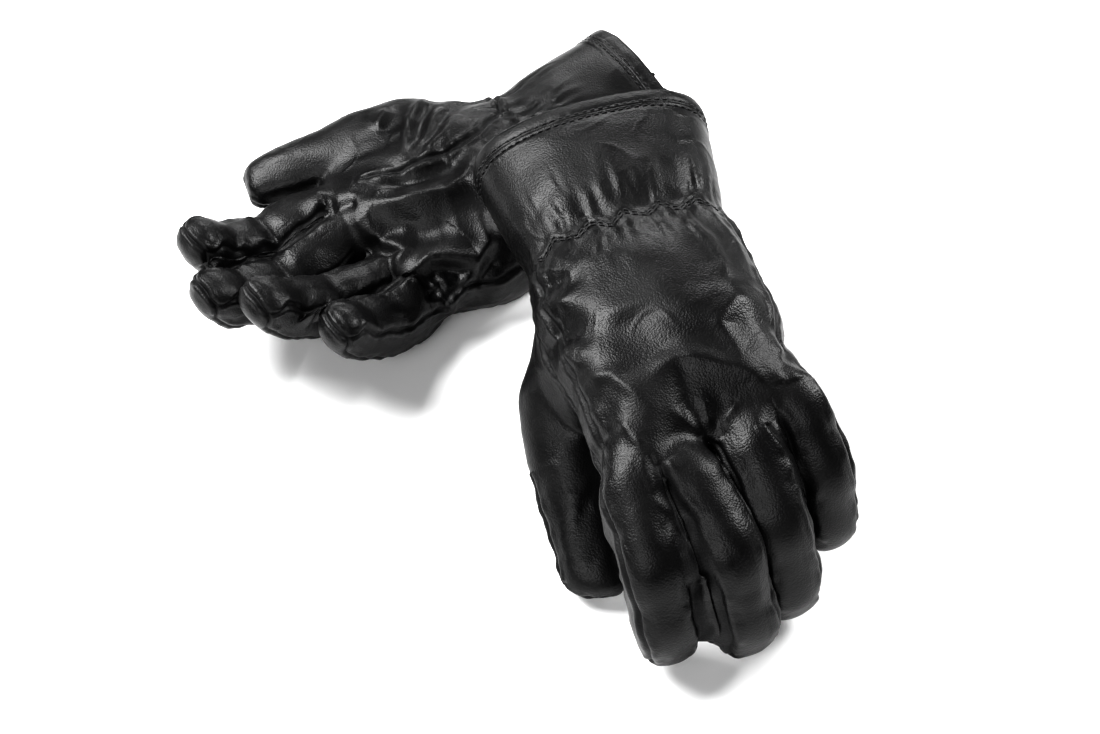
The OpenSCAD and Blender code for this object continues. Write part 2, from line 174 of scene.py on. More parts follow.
def read_glove(side):
    """The glove's frame in the pair's frame, and its fingers and thumb in that frame."""
    low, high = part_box(f"{side}_wrist_elastic")
    y = -unit(mounts[f"{side}_cuff_opening"]["axis"])
    handed = 1 if side == "left" else -1
    hinge = np.array(joints[f"{side}_index_root_bend"]["axis"])
    z = -unit(np.cross(hinge, y))
    x = handed * np.cross(y, z)
    glove = {"side": side, "origin": (np.array(low) + np.array(high)) / 2 / MM,
             "axes": np.array([x, y, z]), "handed": handed}

    def local(point):
        return glove["axes"] @ (np.array(point) / MM - glove["origin"])

    def hinge_of(name):
        joint = joints[f"{side}_{name}_bend"]
        axis = handed * (glove["axes"] @ np.array(joint["axis"]))
        return local(joint["pos_m"]), axis, math.radians(-joint["range_deg"][0])

    glove["local"] = local
    glove["fingers"] = {}
    for name in FINGERS:
        (root, axis, bend0), (mid, _, bend1), (tip, _, bend2) = (
            hinge_of(f"{name}_{part}") for part in ("root", "mid", "tip"))
        lean = math.atan2(-axis[1], -axis[0])
        along = turn(np.array([[0.0, 1, 0]]), (-1, 0, 0), bend0 + bend1 + bend2)
        along = turn(along, (0, 0, 1), lean)[0]
        tip_world = glove["origin"] + tip @ glove["axes"]
        glove["fingers"][name] = {
            "root": root, "lean": lean, "bends": (bend0, bend1, bend2),
            "tuck": -math.radians(TUCK.get(f"{side}_{name}", 0.0)),
            "hinges": (0.0, np.linalg.norm(mid - root),
                       np.linalg.norm(mid - root) + np.linalg.norm(tip - mid)),
            "length": np.linalg.norm(mid - root) + np.linalg.norm(tip - mid)
            + reach(f"{side}_{name}_tip", tip_world, along @ glove["axes"]) - TIP_ROOM}
    root, swing, _ = hinge_of("thumb_root")
    tip, bend_axis, bend = hinge_of("thumb_tip")
    along = unit(tip - root)
    tip_world = glove["origin"] + tip @ glove["axes"]
    end = reach(f"{side}_thumb_tip", tip_world, along @ glove["axes"])
    glove["thumb"] = {"root": root, "tip": tip, "along": along, "up": swing,
                      "side": np.cross(along, swing), "bend_axis": bend_axis, "bend": bend,
                      "hinges": (0.0, np.linalg.norm(tip - root)),
                      "length": np.linalg.norm(tip - root) + end}
    return glove


gloves = {side: read_glove(side) for side in ("left", "right")}
for side, glove in gloves.items():
    print(side, "origin", glove["origin"].round(1), "middle finger bends",
          [round(math.degrees(b)) for b in glove["fingers"]["middle"]["bends"]],
          "length", round(glove["fingers"]["middle"]["length"], 1))


def to_world(glove, points):
    """Points of the glove's frame, in millimetres, in the pair's frame, in metres."""
    return (glove["origin"] + points @ glove["axes"]) * MM

# %% [markdown]
# ## The straight form
# A glove is a flat bag for a hand, four tubes and a thumb. Each is lofted here through a few
# squared ovals, all closed and overlapping, and a voxel remesh melts them into one even skin, as
# leather runs without a break from the palm into the fingers. Lofts on their own would leave hard
# lines where the tubes meet, and sculpting would not repeat. The remesh leaves small steps, so
# the skin is smoothed. Fingers start slim, so that the voxels don't weld them to their neighbours,
# and are plumped afterwards.


# %% Small number helpers
def smooth(t):
    """0 before 0, 1 after 1, and a smooth rise between."""
    t = np.clip(t, 0, 1)
    return t * t * (3 - 2 * t)


def bell(d, width):
    return np.exp(-(d / width) ** 2)


def table(x, rows):
    """Rows of (x, value, value, ...) read at x, smoothly enough for leather."""
    rows = np.array(rows, float)
    return np.array([np.interp(x, rows[:, 0], column) for column in rows[:, 1:].T])


# %% Lofts through squared ovals
ROUNDNESS = 0.8
ROUND_SIDES = 40


def oval(sides=ROUND_SIDES):
    a = np.linspace(0, 2 * math.pi, sides, endpoint=False)
    c, s = np.cos(a), np.sin(a)
    return np.sign(c) * abs(c) ** ROUNDNESS, np.sign(s) * abs(s) ** ROUNDNESS


def loft(rings):
    """Points and faces of a closed tube through rings, each an array of the same number of points."""
    count, sides = len(rings), len(rings[0])
    faces = []
    for i in range(count - 1):
        for j in range(sides):
            k = (j + 1) % sides
            faces.append((i * sides + j, i * sides + k, (i + 1) * sides + k, (i + 1) * sides + j))
    faces.append(tuple(range(sides - 1, -1, -1)))
    faces.append(tuple(range((count - 1) * sides, count * sides)))
    return np.concatenate(rings), faces


# y from the wrist, then the hand's reach to the thumb side, outer side, back and palm
HAND_FORM = ((-67, 54, 52, 29, 29), (-45, 51, 49, 27.5, 27.5), (-22, 47, 46, 25.5, 25.5),
             (-9, 43.5, 43.5, 23.5, 23.5), (1, 41, 41, 20.5, 20.5), (12, 43.5, 43, 23.5, 24.5),
             (32, 46, 46, 25.5, 28), (58, 46, 47, 24.5, 26), (82, 47, 48, 21, 21),
             (98, 49, 47.5, 17, 16.5), (105, 48.5, 46.5, 13, 12.5), (109, 44, 43, 7, 7))


# The right glove lies on its back, and its outer side spreads out under it
OUTER_SPREAD = {"left": ((-70, 0), (70, 0), (90, -2), (110, -4)),
                "right": ((-70, 0), (0, 0), (40, 6), (85, 6), (104, 2), (110, 0))}


def hand_rings(side):
    cx, cz = oval()
    for y in (*range(-67, 104, 6), 103, 106, 108, 109):
        thumb_side, outer, back, palm = table(y, HAND_FORM)
        outer = outer + table(y, OUTER_SPREAD[side])[0]
        x = np.where(cx > 0, thumb_side, outer) * cx
        z = np.where(cz > 0, back, palm) * cz
        fall = smooth((y - 40) / 60) * (x - 12.35) ** 2
        yield np.stack([x, y - 0.005 * fall - 3.0, z - 0.00125 * fall], 1)


# How far along a finger, as a share, then half its width and half its height there
FINGER_FORM = ((-0.3, 10.0, 10.5), (0, 10.2, 13.0), (0.2, 10.2, 13.6), (0.5, 10.2, 13.0), (0.72, 10.0, 12.2),
               (0.88, 9.6, 10.8), (0.955, 8.8, 8.6), (0.99, 6.8, 5.4), (1.0, 4.6, 3.0))
THUMB_FORM = ((-0.95, 13, 13), (-0.5, 17.5, 16.5), (-0.1, 17, 15.5), (0.2, 15.6, 14.0), (0.5, 14.2, 12.8),
              (0.8, 13.2, 11.2), (0.93, 12.2, 8.8), (0.985, 9.4, 5.6), (1.0, 6.2, 3.2))


def tube_rings(form, start, along, side, up, length):
    cx, cz = oval(24)
    for t in (*np.arange(form[0][0], 0.86, 0.05), 0.88, 0.92, 0.955, 0.975, 0.99, 1.0):
        w, h = table(t, form)
        yield start + t * length * along + w * cx[:, None] * side + h * cz[:, None] * up


def straight_parts(glove):
    yield loft(list(hand_rings(glove["side"])))
    for finger in glove["fingers"].values():
        yield loft(list(tube_rings(FINGER_FORM, finger["root"], np.array([0, 1.0, 0]),
                                   np.array([1.0, 0, 0]), np.array([0, 0, 1.0]), finger["length"])))
    thumb = glove["thumb"]
    yield loft(list(tube_rings(THUMB_FORM, thumb["root"], thumb["along"], thumb["side"],
                               thumb["up"], thumb["length"])))


# %% Meshes in and out of numbers
def new_mesh(name, points, faces):
    mesh = bpy.data.meshes.new(name)
    mesh.from_pydata([tuple(p) for p in points], [], faces)
    obj = bpy.data.objects.new(name, mesh)
    bpy.context.scene.collection.objects.link(obj)
    return obj


def read_mesh(mesh):
    """Points, and quads as rows of four point numbers."""
    points = np.empty(len(mesh.vertices) * 3)
    mesh.vertices.foreach_get("co", points)
    corners = np.empty(len(mesh.loops), int)
    mesh.loops.foreach_get("vertex_index", corners)
    return points.reshape(-1, 3), corners.reshape(-1, 4)


def modified(obj, kind, **settings):
    """Points and quads of obj with one modifier applied; obj itself is removed."""
    modifier = obj.modifiers.new(kind, kind)
    for name, value in settings.items():
        setattr(modifier, name, value)
    bpy.context.view_layer.update()
    result = obj.evaluated_get(bpy.context.evaluated_depsgraph_get()).to_mesh()
    points, quads = read_mesh(result)
    mesh = obj.data
    bpy.data.objects.remove(obj)
    bpy.data.meshes.remove(mesh)
    return points, quads


def edges_of(quads):
    pairs = np.concatenate([quads[:, [0, 1]], quads[:, [1, 2]], quads[:, [2, 3]], quads[:, [3, 0]]])
    return np.unique(np.sort(pairs, 1), axis=0)


def neighbour_mean(values, edges):
    """The mean of each point's neighbours."""
    count = np.bincount(edges.ravel(), minlength=len(values))
    total = np.zeros_like(values)
    for a, b in ((0, 1), (1, 0)):
        for k in range(values.shape[1]):
            total[:, k] += np.bincount(edges[:, a], values[edges[:, b], k], len(values))
    return total / np.maximum(count, 1)[:, None]


def smoothed(points, edges, times, amount=0.5):
    for _ in range(times):
        points = points + amount * (neighbour_mean(points, edges) - points)
    return points


def normals_of(points, quads):
    a, b, c, d = (points[quads[:, k]] for k in range(4))
    face = np.cross(c - a, d - b)
    normal = np.zeros_like(points)
    for k in range(4):
        for axis in range(3):
            normal[:, axis] += np.bincount(quads[:, k], face[:, axis], len(points))
    return normal / np.maximum(np.linalg.norm(normal, axis=1), 1e-12)[:, None]


# %% Melt the straight form into one skin
VOXEL = 2.6
CUFF_END = -62.0


def straight_skin(glove):
    points, faces = [], []
    for part_points, part_faces in straight_parts(glove):
        shift = sum(len(p) for p in points)
        points.append(part_points)
        faces += [tuple(i + shift for i in face) for face in part_faces]
    form = new_mesh("form", np.concatenate(points), faces)
    points, quads = modified(form, "REMESH", mode="VOXEL", voxel_size=VOXEL, use_smooth_shade=True)
    edges = edges_of(quads)
    points = smoothed(points, edges, 6)
    keep = (points[quads][:, :, 1] > CUFF_END - 1.5).all(axis=1)
    quads = quads[keep]
    used, quads = np.unique(quads, return_inverse=True)
    return points[used], quads.reshape(-1, 4)


for glove in gloves.values():
    glove["straight"], glove["quads"] = straight_skin(glove)
    print(glove["side"], "skin has", len(glove["quads"]), "quads")

# %% [markdown]
# ## Bending the fingers
# Leather over a knuckle doesn't fold like a hinge: the skin turns little by little over the width
# of the joint. So each point is turned about its hinge by a share of the angle that grows smoothly
# along the finger. An armature would do the same with painted weights; here the weights are plain
# formulas.

# %% Which finger a point belongs to, and how far along
BEND_REACH = (13.0, 12.0, 10.0)
PITCH = 24.7


def lanes(glove, points):
    """Share of each finger in each point, and its distance along that finger from the knuckle."""
    roots = np.array([f["root"] for f in glove["fingers"].values()])
    x = np.clip(points[:, 0], roots[3, 0], roots[0, 0])
    along = points[:, 1][:, None] - roots[:, 1]
    off = abs(x[:, None] - roots[:, 0]) / PITCH
    sharp = 1 + 20 * smooth((along + 6) / 10)
    share = smooth(0.5 + (0.5 - off) * sharp)
    share[off > 1.001] = 0
    return share / np.maximum(share.sum(axis=1), 1e-9)[:, None], along


def thumb_along(glove, points):
    """How far along the thumb a point lies, and how far from its middle line."""
    thumb = glove["thumb"]
    offset = points - thumb["root"]
    along = offset @ thumb["along"]
    return along, np.linalg.norm(offset - along[:, None] * thumb["along"], axis=1)


def bent_finger(finger, points, along):
    """Points turned about the finger's three hinges, each over the reach of its joint."""
    axis = np.array([-1.0, 0, 0])
    for k in (2, 1, 0):
        weight = smooth((along - finger["hinges"][k]) / (2 * BEND_REACH[k]) + 0.5)
        centre = finger["root"] + np.array([0, finger["hinges"][k], 0])
        points = turn(points, axis, weight * finger["bends"][k], centre)
    sideways = finger["lean"] + finger["tuck"]
    return turn(points, (0, 0, 1), smooth((along + 16) / 30) * sideways, finger["root"])


def bent(glove, points, straight):
    """Points bent as their places on the straight form say."""
    share, along = lanes(glove, straight)
    out = np.zeros_like(points)
    for k, finger in enumerate(glove["fingers"].values()):
        out += share[:, k][:, None] * bent_finger(finger, points, along[:, k])
    mouth = glove["local"](mounts[f"{glove['side']}_cuff_opening"]["pos_m"])
    push = np.maximum(0, -straight[:, 1]) / 62.0 * mouth[0]
    out[:, 1] += out[:, 0] * push / 62.0
    out[:, 0] += push
    return out


THUMB_CURVE = ((-60, 0), (-25, 5), (0, 3.5), (20, 0), (40, -3.5), (60, -7))
FINGER_PLUMP = {"index": 0.22, "middle": 0.22, "ring": 0.22, "little": 0.10}


def plumped(glove, points):
    """Fingers grown sideways until they nearly touch, and the thumb curved in towards them."""
    share, along = lanes(glove, points)
    thumb = glove["thumb"]
    thumb_s, off = thumb_along(glove, points)
    outward = (points - thumb["root"]) @ thumb["side"] > -12
    near = smooth((26 - off) / 8) * (outward | (thumb_s > 8)) * smooth((thumb_s + 50) / 30)
    push = np.interp(thumb_s, *zip(*THUMB_CURVE)) * near * (points[:, 1] < 190)
    curved = points + push[:, None] * thumb["side"]
    out = np.where((near > 0)[:, None], curved, points)
    names = list(glove["fingers"])
    for k, finger in enumerate(glove["fingers"].values()):
        free = share[:, k] * (near * (thumb_s > 4) < 0.01)
        grow = FINGER_PLUMP[names[k]] * smooth((along[:, k] + 1) / 8) * free
        out[:, 0] += grow * (points[:, 0] - finger["root"][0])
    return out


for glove in gloves.values():
    thumb_s, off = thumb_along(glove, glove["straight"])
    glove["is_thumb"] = (off < 22) & (thumb_s > 4) & (glove["straight"][:, 1] < 190)
    glove["straight"] = plumped(glove, glove["straight"])
    print(glove["side"], "thumb points", int(glove["is_thumb"].sum()))

# %% [markdown]
# ## Letting the leather settle
# A bent glove is too long for itself on the palm side and too tight over the knuckles. Where that
# spare leather goes is what makes it look like leather, and cloth simulation finds it better than a
# hand can. The bent skin is given springs as long as they are on a slightly larger straight glove,
# a little air inside, and no weight. The wrist, the mouth of the cuff and the fingertips are held.
# The simulation runs at ten times the real size, where its forces suit a mesh this fine.

# %% Spare leather
SPARE = 1.045
GATHER_PITCH = 9.0


def round_hand(points):
    """Angle of each point around the hand, 0 to the thumb side, and its distance from the middle."""
    return np.arctan2(points[:, 2], points[:, 0]), np.hypot(points[:, 0], points[:, 2])


def spare_shape(points):
    """The straight form with more leather in it, most of all at the gathered wrist."""
    out = points * SPARE
    near_wrist = bell(points[:, 1] - 2, 34)[:, None] * (abs(points[:, 1]) < 90)[:, None]
    return out * (1 + 0.10 * near_wrist * np.array([1, 0, 1]))


def gather(points):
    """Height of the soft pleats that run out of the wrist's stitching."""
    angle, _ = round_hand(points)
    turns = angle * 33 / GATHER_PITCH
    wobble = np.array([noise.noise(Vector((a * 2.1, y * 0.03, r))) for a, y, r in
                       zip(turns, points[:, 1], np.where(points[:, 2] > 0, 1.0, 5.0))])
    pleat = np.cos(2 * math.pi * turns + 4.5 * wobble)
    reach_out = np.where(points[:, 1] > 0, bell(points[:, 1] - 7, 20), bell(points[:, 1] + 8, 17))
    return pleat * reach_out * (0.75 + 0.9 * wobble)


# %% Cloth
SIM_SCALE = 10 * MM
SIM_FRAMES = 20
MOVE_CAP = 8.0


def held_points(glove):
    """How firmly each point is held: the wrist, the mouth of the cuff and the tips."""
    points = glove["straight"]
    held = np.maximum(bell(points[:, 1] - 1, 4), smooth((-53 - points[:, 1]) / 6))
    share, along = lanes(glove, points)
    for k, finger in enumerate(glove["fingers"].values()):
        tip = share[:, k] * smooth((along[:, k] - finger["length"] + 8) / 6)
        held = np.maximum(held, tip * ~glove["is_thumb"])
    thumb_s, _ = thumb_along(glove, points)
    tip = glove["is_thumb"] * smooth((thumb_s - glove["thumb"]["length"] + 8) / 6)
    return np.maximum(held, tip)


def settled(glove, points):
    """The skin after the cloth has come to rest, each point moved no further than the cap."""
    skin = new_mesh("settling", points * SIM_SCALE, glove["quads"].tolist())
    skin.shape_key_add(name="now")
    spare = skin.shape_key_add(name="spare")
    spare.data.foreach_set("co", (spare_shape(glove["straight"]) * SIM_SCALE).ravel())
    group = skin.vertex_groups.new(name="held")
    for i, weight in enumerate(held_points(glove)):
        group.add([i], float(min(1, weight)), "REPLACE")
    cloth = skin.modifiers.new("cloth", "CLOTH")
    cloth.settings.quality = 6
    cloth.settings.mass = 0.02
    cloth.settings.tension_stiffness = 30
    cloth.settings.compression_stiffness = 30
    cloth.settings.shear_stiffness = 10
    cloth.settings.bending_stiffness = 0.4
    cloth.settings.air_damping = 2
    cloth.settings.vertex_group_mass = "held"
    cloth.settings.rest_shape_key = spare
    cloth.settings.use_pressure = True
    cloth.settings.uniform_pressure_force = 5
    cloth.settings.effector_weights.gravity = 0
    cloth.collision_settings.use_self_collision = False
    cloth.collision_settings.use_collision = False
    cloth.point_cache.frame_start, cloth.point_cache.frame_end = 1, SIM_FRAMES
    for step in range(1, SIM_FRAMES + 1):
        bpy.context.scene.frame_set(step)
    result, _ = read_mesh(skin.evaluated_get(bpy.context.evaluated_depsgraph_get()).to_mesh())
    bpy.data.objects.remove(skin)
    bpy.context.scene.frame_set(1)
    move = smoothed(result / SIM_SCALE - points, edges_of(glove["quads"]), 2)
    move *= 1 - 0.55 * smooth((glove["straight"][:, 1:2] - 104) / 14)
    length = np.linalg.norm(move, axis=1, keepdims=True)
    return points + move * np.minimum(1, MOVE_CAP / np.maximum(length, 1e-9))


for glove in gloves.values():
    straight = glove["straight"]
    start = bent(glove, straight, straight)
    start = np.where(glove["is_thumb"][:, None], straight, start)
    start += normals_of(start, glove["quads"]) * gather(straight)[:, None]
    glove["skin"] = settled(glove, start)
    moved = np.linalg.norm(glove["skin"] - start, axis=1)
    print(glove["side"], "leather moved", round(moved.mean(), 2), "mm on average, at most",
          round(moved.max(), 1))

# %% [markdown]
# ## Fine skin
# Two rounds of subdivision bring the quads down to 0.6 mm, fine enough for a seam. The straight
# form is subdivided the same way, so the two keep matching point by point. A displacement modifier
# with a texture could sink the seams, but it can't know where a seam is; the straight form does.

# %% Subdivide both forms alike
def subdivided(points, quads, levels=2):
    fine = new_mesh("fine", points, quads.tolist())
    return modified(fine, "SUBSURF", levels=levels)


for glove in gloves.values():
    glove["skin"], fine_quads = subdivided(glove["skin"], glove["quads"])
    glove["straight"], _ = subdivided(glove["straight"], glove["quads"])
    glove["quads"] = fine_quads
    thumb_s, off = thumb_along(glove, glove["straight"])
    glove["is_thumb"] = (off < 22) & (thumb_s > 4) & (glove["straight"][:, 1] < 190)
    print(glove["side"], "fine skin has", len(fine_quads), "quads")

# %% [markdown]
# ## Seams
# The back and the palm of each finger are joined by narrow strips, so two seams run along each
# side of every finger and meet over its tip. Those on the thumb side and the outer side run on
# down the hand to the wrist. The thumb is set in with a slanting seam all around. A seam pulls the
# leather down into a groove, with a swollen welt on each side and small puckers across.

# %% Where the seams run
SEAM_HEIGHT = 0.6


def fine_noise(points, size, seed=0.0):
    shift = Vector((seed, seed * 1.7, seed * 0.3))
    return np.array([noise.noise(Vector(p) / size + shift) for p in points])


def finger_seams(glove, points, wave):
    """Distance to the nearest seam of each finger."""
    share, along = lanes(glove, points)
    far = np.full(len(points), 99.0)
    for k, finger in enumerate(glove["fingers"].values()):
        s = along[:, k]
        x, z = points[:, 0] - finger["root"][0], points[:, 2] - finger["root"][2]
        width, height = table(s / finger["length"], FINGER_FORM)
        level = SEAM_HEIGHT * height * (1 - smooth((s - finger["length"] + 10) / 8))
        on_side = (abs(x) > 0.45 * width) | (s > finger["length"] - 7)
        outer = (k == 0) * (x > 0) + (k == 3) * (x < 0)
        here = on_side & (share[:, k] > 0.5) & ~glove["is_thumb"] & (s > np.where(outer, -6, 0))
        d = np.minimum(abs(z - level + wave), abs(z + level + wave)) * 1.15
        far = np.where(here, np.minimum(far, d), far)
    return far


def hand_seams(glove, points, wave):
    """Distance to the seams that run down both sides of the hand."""
    y = points[:, 1]
    thumb_side, outer, back, palm = table(y, HAND_FORM)
    fall = smooth((y - 40) / 60) * (points[:, 0] - 12.35) ** 2
    z = points[:, 2] + 0.00125 * fall
    to_thumb = points[:, 0] > 0
    level_back = np.where(to_thumb, 0.5, 0.5) * back
    level_palm = np.where(to_thumb, 0.05, -0.5) * palm
    d = np.minimum(abs(z - level_back + wave), abs(z - level_palm + wave)) * 1.1
    roots = np.where(to_thumb, 104.9, 95.8)
    here = (y > 5) & (y < roots - 4) & (abs(points[:, 0]) > 25) & ~glove["is_thumb"]
    return np.where(here, d, 99.0)


THUMB_SEAM_PALM = ((43, 2), (34, 3), (24, 9), (16, 28), (15, 50), (20, 70), (30, 84))


def thumb_seams(glove, points, wave):
    """Distance to the seams along the thumb's sides and to the one that sets it into the hand."""
    thumb = glove["thumb"]
    s, off = thumb_along(glove, points)
    offset = points - thumb["root"]
    across, up = offset @ thumb["side"], offset @ thumb["up"]
    width, height = table(s / thumb["length"], THUMB_FORM)
    level = 0.3 * height * (1 - smooth((s - thumb["length"] + 12) / 9))
    on_side = (abs(across) > 0.5 * width) | (s > thumb["length"] - 6)
    along = np.where(glove["is_thumb"] & on_side & (s > 6), abs(up - level + wave), 99.0)
    root_line = -14 - 14 * across / 17
    around = abs(s - root_line + 1.5 * wave) * 0.72
    near = (off < 24) & (s < 12) & (s > -34) & (points[:, 2] > -4)
    palm_line, _ = path_distance(points[:, :2], THUMB_SEAM_PALM)
    on_palm = (points[:, 2] < -4) & ~glove["is_thumb"]
    return np.minimum(along, np.where(near, around, np.where(on_palm, palm_line + 0.6 * wave, 99.0)))


# %% Sink the seams
def seam_relief(distance, along_noise):
    """Height of the leather beside a seam: a groove, two welts, and puckers across it."""
    groove = -0.95 * bell(distance, 0.85)
    welt = 0.42 * bell(distance - 2.3, 1.3)
    pucker = 0.55 * along_noise * bell(distance, 4.5)
    return groove + welt * (1 + 0.8 * along_noise) + pucker


# %% [markdown]
# ## Folds given one by one
# The cloth gives the small folds, but not the few large ones that a worn glove keeps in its palm and
# across its back. They could be sculpted, but then they couldn't be changed with a number. Each is a
# line on the straight form with a height and a width, and the skin moves along its normals beside it.

# %% Folds given one by one
# Which face of the hand, height, width, and the line as places (towards the thumb, along the hand)
FOLDS = {
    "left": (
        ("back", 1.9, 4.2, ((-17, 9), (-26, 28), (-27, 40), (-25, 54))),
        ("back", 1.5, 3.6, ((-33, 12), (-38, 30), (-36, 46))),
        ("back", 1.2, 4.8, ((-40, 58), (-24, 60), (-15, 68), (-20, 82), (-32, 88))),
                ("back", 1.7, 4.6, ((10, 76), (-6, 80), (-22, 88), (-26, 98))),
        ("back", -3.0, 13.0, ((14, 48), (14, 62), (8, 80))),
        ("back", 1.5, 4.0, ((40, 66), (28, 74), (22, 90))),
        ("back", -1.8, 4.8, ((44, 16), (30, 26))),
        ("back", 1.4, 4.0, ((46, 24), (32, 38))),
        ("back", -2.2, 5.4, ((46, 36), (34, 52))),
        ("back", 1.5, 4.4, ((44, 48), (33, 64))),
        ("back", 0.9, 2.4, ((3, 104), (12, 96))), ("back", 1.1, 2.4, ((0, 104), (-1, 92))),
        ("back", 0.9, 2.4, ((-3, 104), (-13, 97))), ("back", 0.9, 3.2, ((27, 104), (33, 92))),
        ("palm", 2.0, 4.0, ((-30, 88), (-10, 84), (12, 90))), ("palm", -2.0, 4.0, ((-26, 94), (6, 90))),
        ("palm", 1.8, 4.0, ((16, 30), (8, 52), (14, 76))),
        ("palm", -2.2, 5.0, ((-34, 50), (-10, 64), (6, 60)))),
    "right": (
        ("palm", 2.8, 4.6, ((10, 100), (-3, 98), (-14, 92), (-24, 103))),
        ("palm", 3.6, 4.2, ((-26, 105), (-25, 86), (-37, 68), (-34, 60), (-22, 55))),
        ("palm", -2.6, 5.0, ((-32, 96), (-33, 84), (-43, 70))),
        ("palm", 2.6, 4.6, ((15, 92), (4, 79), (-5, 62), (-3, 53), (5, 38))),
        ("palm", -3.4, 5.4, ((21, 84), (12, 68), (7, 52), (12, 38))),
        ("palm", -2.4, 9.0, ((-6, 90), (-16, 76), (-20, 66))),
        ("palm", 1.6, 2.4, ((-37, 96), (-36, 88), (-41, 84))),
        ("palm", 1.7, 2.6, ((-42, 101), (-43, 92), (-47, 87))), ("palm", -1.6, 2.8, ((-40, 100), (-41, 90))),
        ("palm", 2.6, 3.4, ((-38, 70), (-44, 80), (-47, 92))), ("palm", -2.0, 4.0, ((-40, 58), (-46, 74))),
        ("palm", 1.8, 4.5, ((-20, 20), (-34, 38), (-42, 52))), ("palm", -1.8, 5.0, ((-10, 22), (-26, 44))),
        ("palm", 2.3, 3.2, ((54, 32), (45, 47), (27, 63))),
        ("palm", -2.2, 3.2, ((49, 31), (38, 46), (25, 61))),
        ("palm", 2.2, 3.2, ((42, 28), (33, 42), (22, 62))),
        ("palm", -2.0, 3.0, ((37, 28), (29, 44), (21, 60))),
        ("palm", 2.0, 3.2, ((32, 26), (25, 42), (18, 60))), ("palm", 1.5, 3.4, ((58, 50), (48, 62))),
        ("palm", -2.0, 4.0, ((24, 104), (18, 94))), ("palm", -2.0, 4.0, ((0, 106), (-3, 98))))}


def path_distance(points, path):
    """Distance to a line through places, and the share of the line walked at the nearest spot."""
    path = np.array(path, float)
    lengths = np.linalg.norm(np.diff(path, axis=0), axis=1)
    walked = np.concatenate([[0], np.cumsum(lengths)]) / lengths.sum()
    best, share = np.full(len(points), 1e9), np.zeros(len(points))
    for k, length in enumerate(lengths):
        step = (path[k + 1] - path[k]) / length
        t = np.clip((points - path[k]) @ step, 0, length)
        d = np.linalg.norm(points - path[k] - t[:, None] * step, axis=1)
        share = np.where(d < best, walked[k] + t / length * (walked[k + 1] - walked[k]), share)
        best = np.minimum(best, d)
    return best, share


def fold_relief(glove):
    """All the listed folds, each with a sharp crest, hollow flanks and ends that fade."""
    x, y, z = glove["straight"].T
    flat = glove["straight"][:, :2] + 1.6 * np.stack([fine_noise(glove["straight"], 16.0, 2.0),
                                                      fine_noise(glove["straight"], 16.0, 6.0)], 1)
    relief = np.zeros(len(x))
    for face, height, width, path in FOLDS[glove["side"]]:
        d, share = path_distance(flat, path)
        d, share = np.abs(d), np.clip(share, 0, 1)
        width *= 1.35
        crest = bell(d, 0.75 * width) if height < 0 else 1 / (1 + (d / (0.85 * width)) ** 2) ** 2
        flank = bell(d - 1.9 * width, 1.1 * width)
        fade = smooth(share / 0.3) * smooth((1 - share) / 0.3)
        on_face = smooth((z if face == "back" else -z) / 5)
        relief += height * (crest - 0.3 * flank) * (0.25 + 0.75 * fade) * on_face
    return relief * ~glove["is_thumb"]


for glove in gloves.values():
    normals = normals_of(glove["skin"], glove["quads"])
    relief = fold_relief(glove)
    slow, slower = fine_noise(glove["straight"], 19.0, 11.0), fine_noise(glove["straight"], 31.0, 4.0)
    lines = bell(slow, 0.07) * smooth((slower + 0.12) / 0.3)
    calm = (glove["straight"][:, 1] > -50) * (1 - 0.7 * smooth((glove["straight"][:, 1] - 100) / 12))
    glove["skin"] = glove["skin"] + normals * (relief + (0.2 * lines + 0.7 * slower) * calm)[:, None]
    print(glove["side"], "folds from", round(relief.min(), 1), "to", round(relief.max(), 1), "mm")

# %% Seams into the skin
for glove in gloves.values():
    straight = glove["straight"]
    wave = 1.1 * fine_noise(straight, 9.0, 3.0)
    distance = np.minimum(finger_seams(glove, straight, wave), hand_seams(glove, straight, wave))
    distance = np.minimum(distance, thumb_seams(glove, straight, wave))
    puckers = 0.7 * fine_noise(straight, 4.2, 7.0) + 0.9 * fine_noise(straight, 9.0, 1.0)
    normals = normals_of(glove["skin"], glove["quads"])
    creases = 0.45 * fine_noise(straight, 13.0, 5.0)
    glove["skin"] = glove["skin"] + normals * (seam_relief(distance, puckers) + creases)[:, None]
    # This mask makes the seams duller, and in the leather's colour darker as painted shade in the grooves.
    glove["seam"] = bell(distance, 1.2)
    print(glove["side"], "points in a seam", int((distance < 1).sum()))

# %% [markdown]
# ## Wrist and hem relief
# Two rows of thread zigzag across the back of the wrist over an elastic band, and pull the leather
# in along their line. The mouth of the cuff is folded over and sewn, so a step runs around it. The
# rows are written once, as functions, and both the grooves here and the threads later follow them.

# %% Rows of stitching as functions of the place across the hand
ZIGZAG_PITCH = 14.5
ZIGZAG_RISE = 5.6
ZIGZAG_ROWS = (1.2, 3.2)
HEM_STITCH_ROWS = (-52.6, -55.6)
HEM_START = -54.2


def zigzag(x):
    """How far along the arm the zigzag lies, x across the back of the wrist."""
    t = (x / ZIGZAG_PITCH) % 1
    corner = 0.46
    rise = np.where(t < corner, t / corner, (1 - t) / (1 - corner))
    return (rise - 0.5) * ZIGZAG_RISE


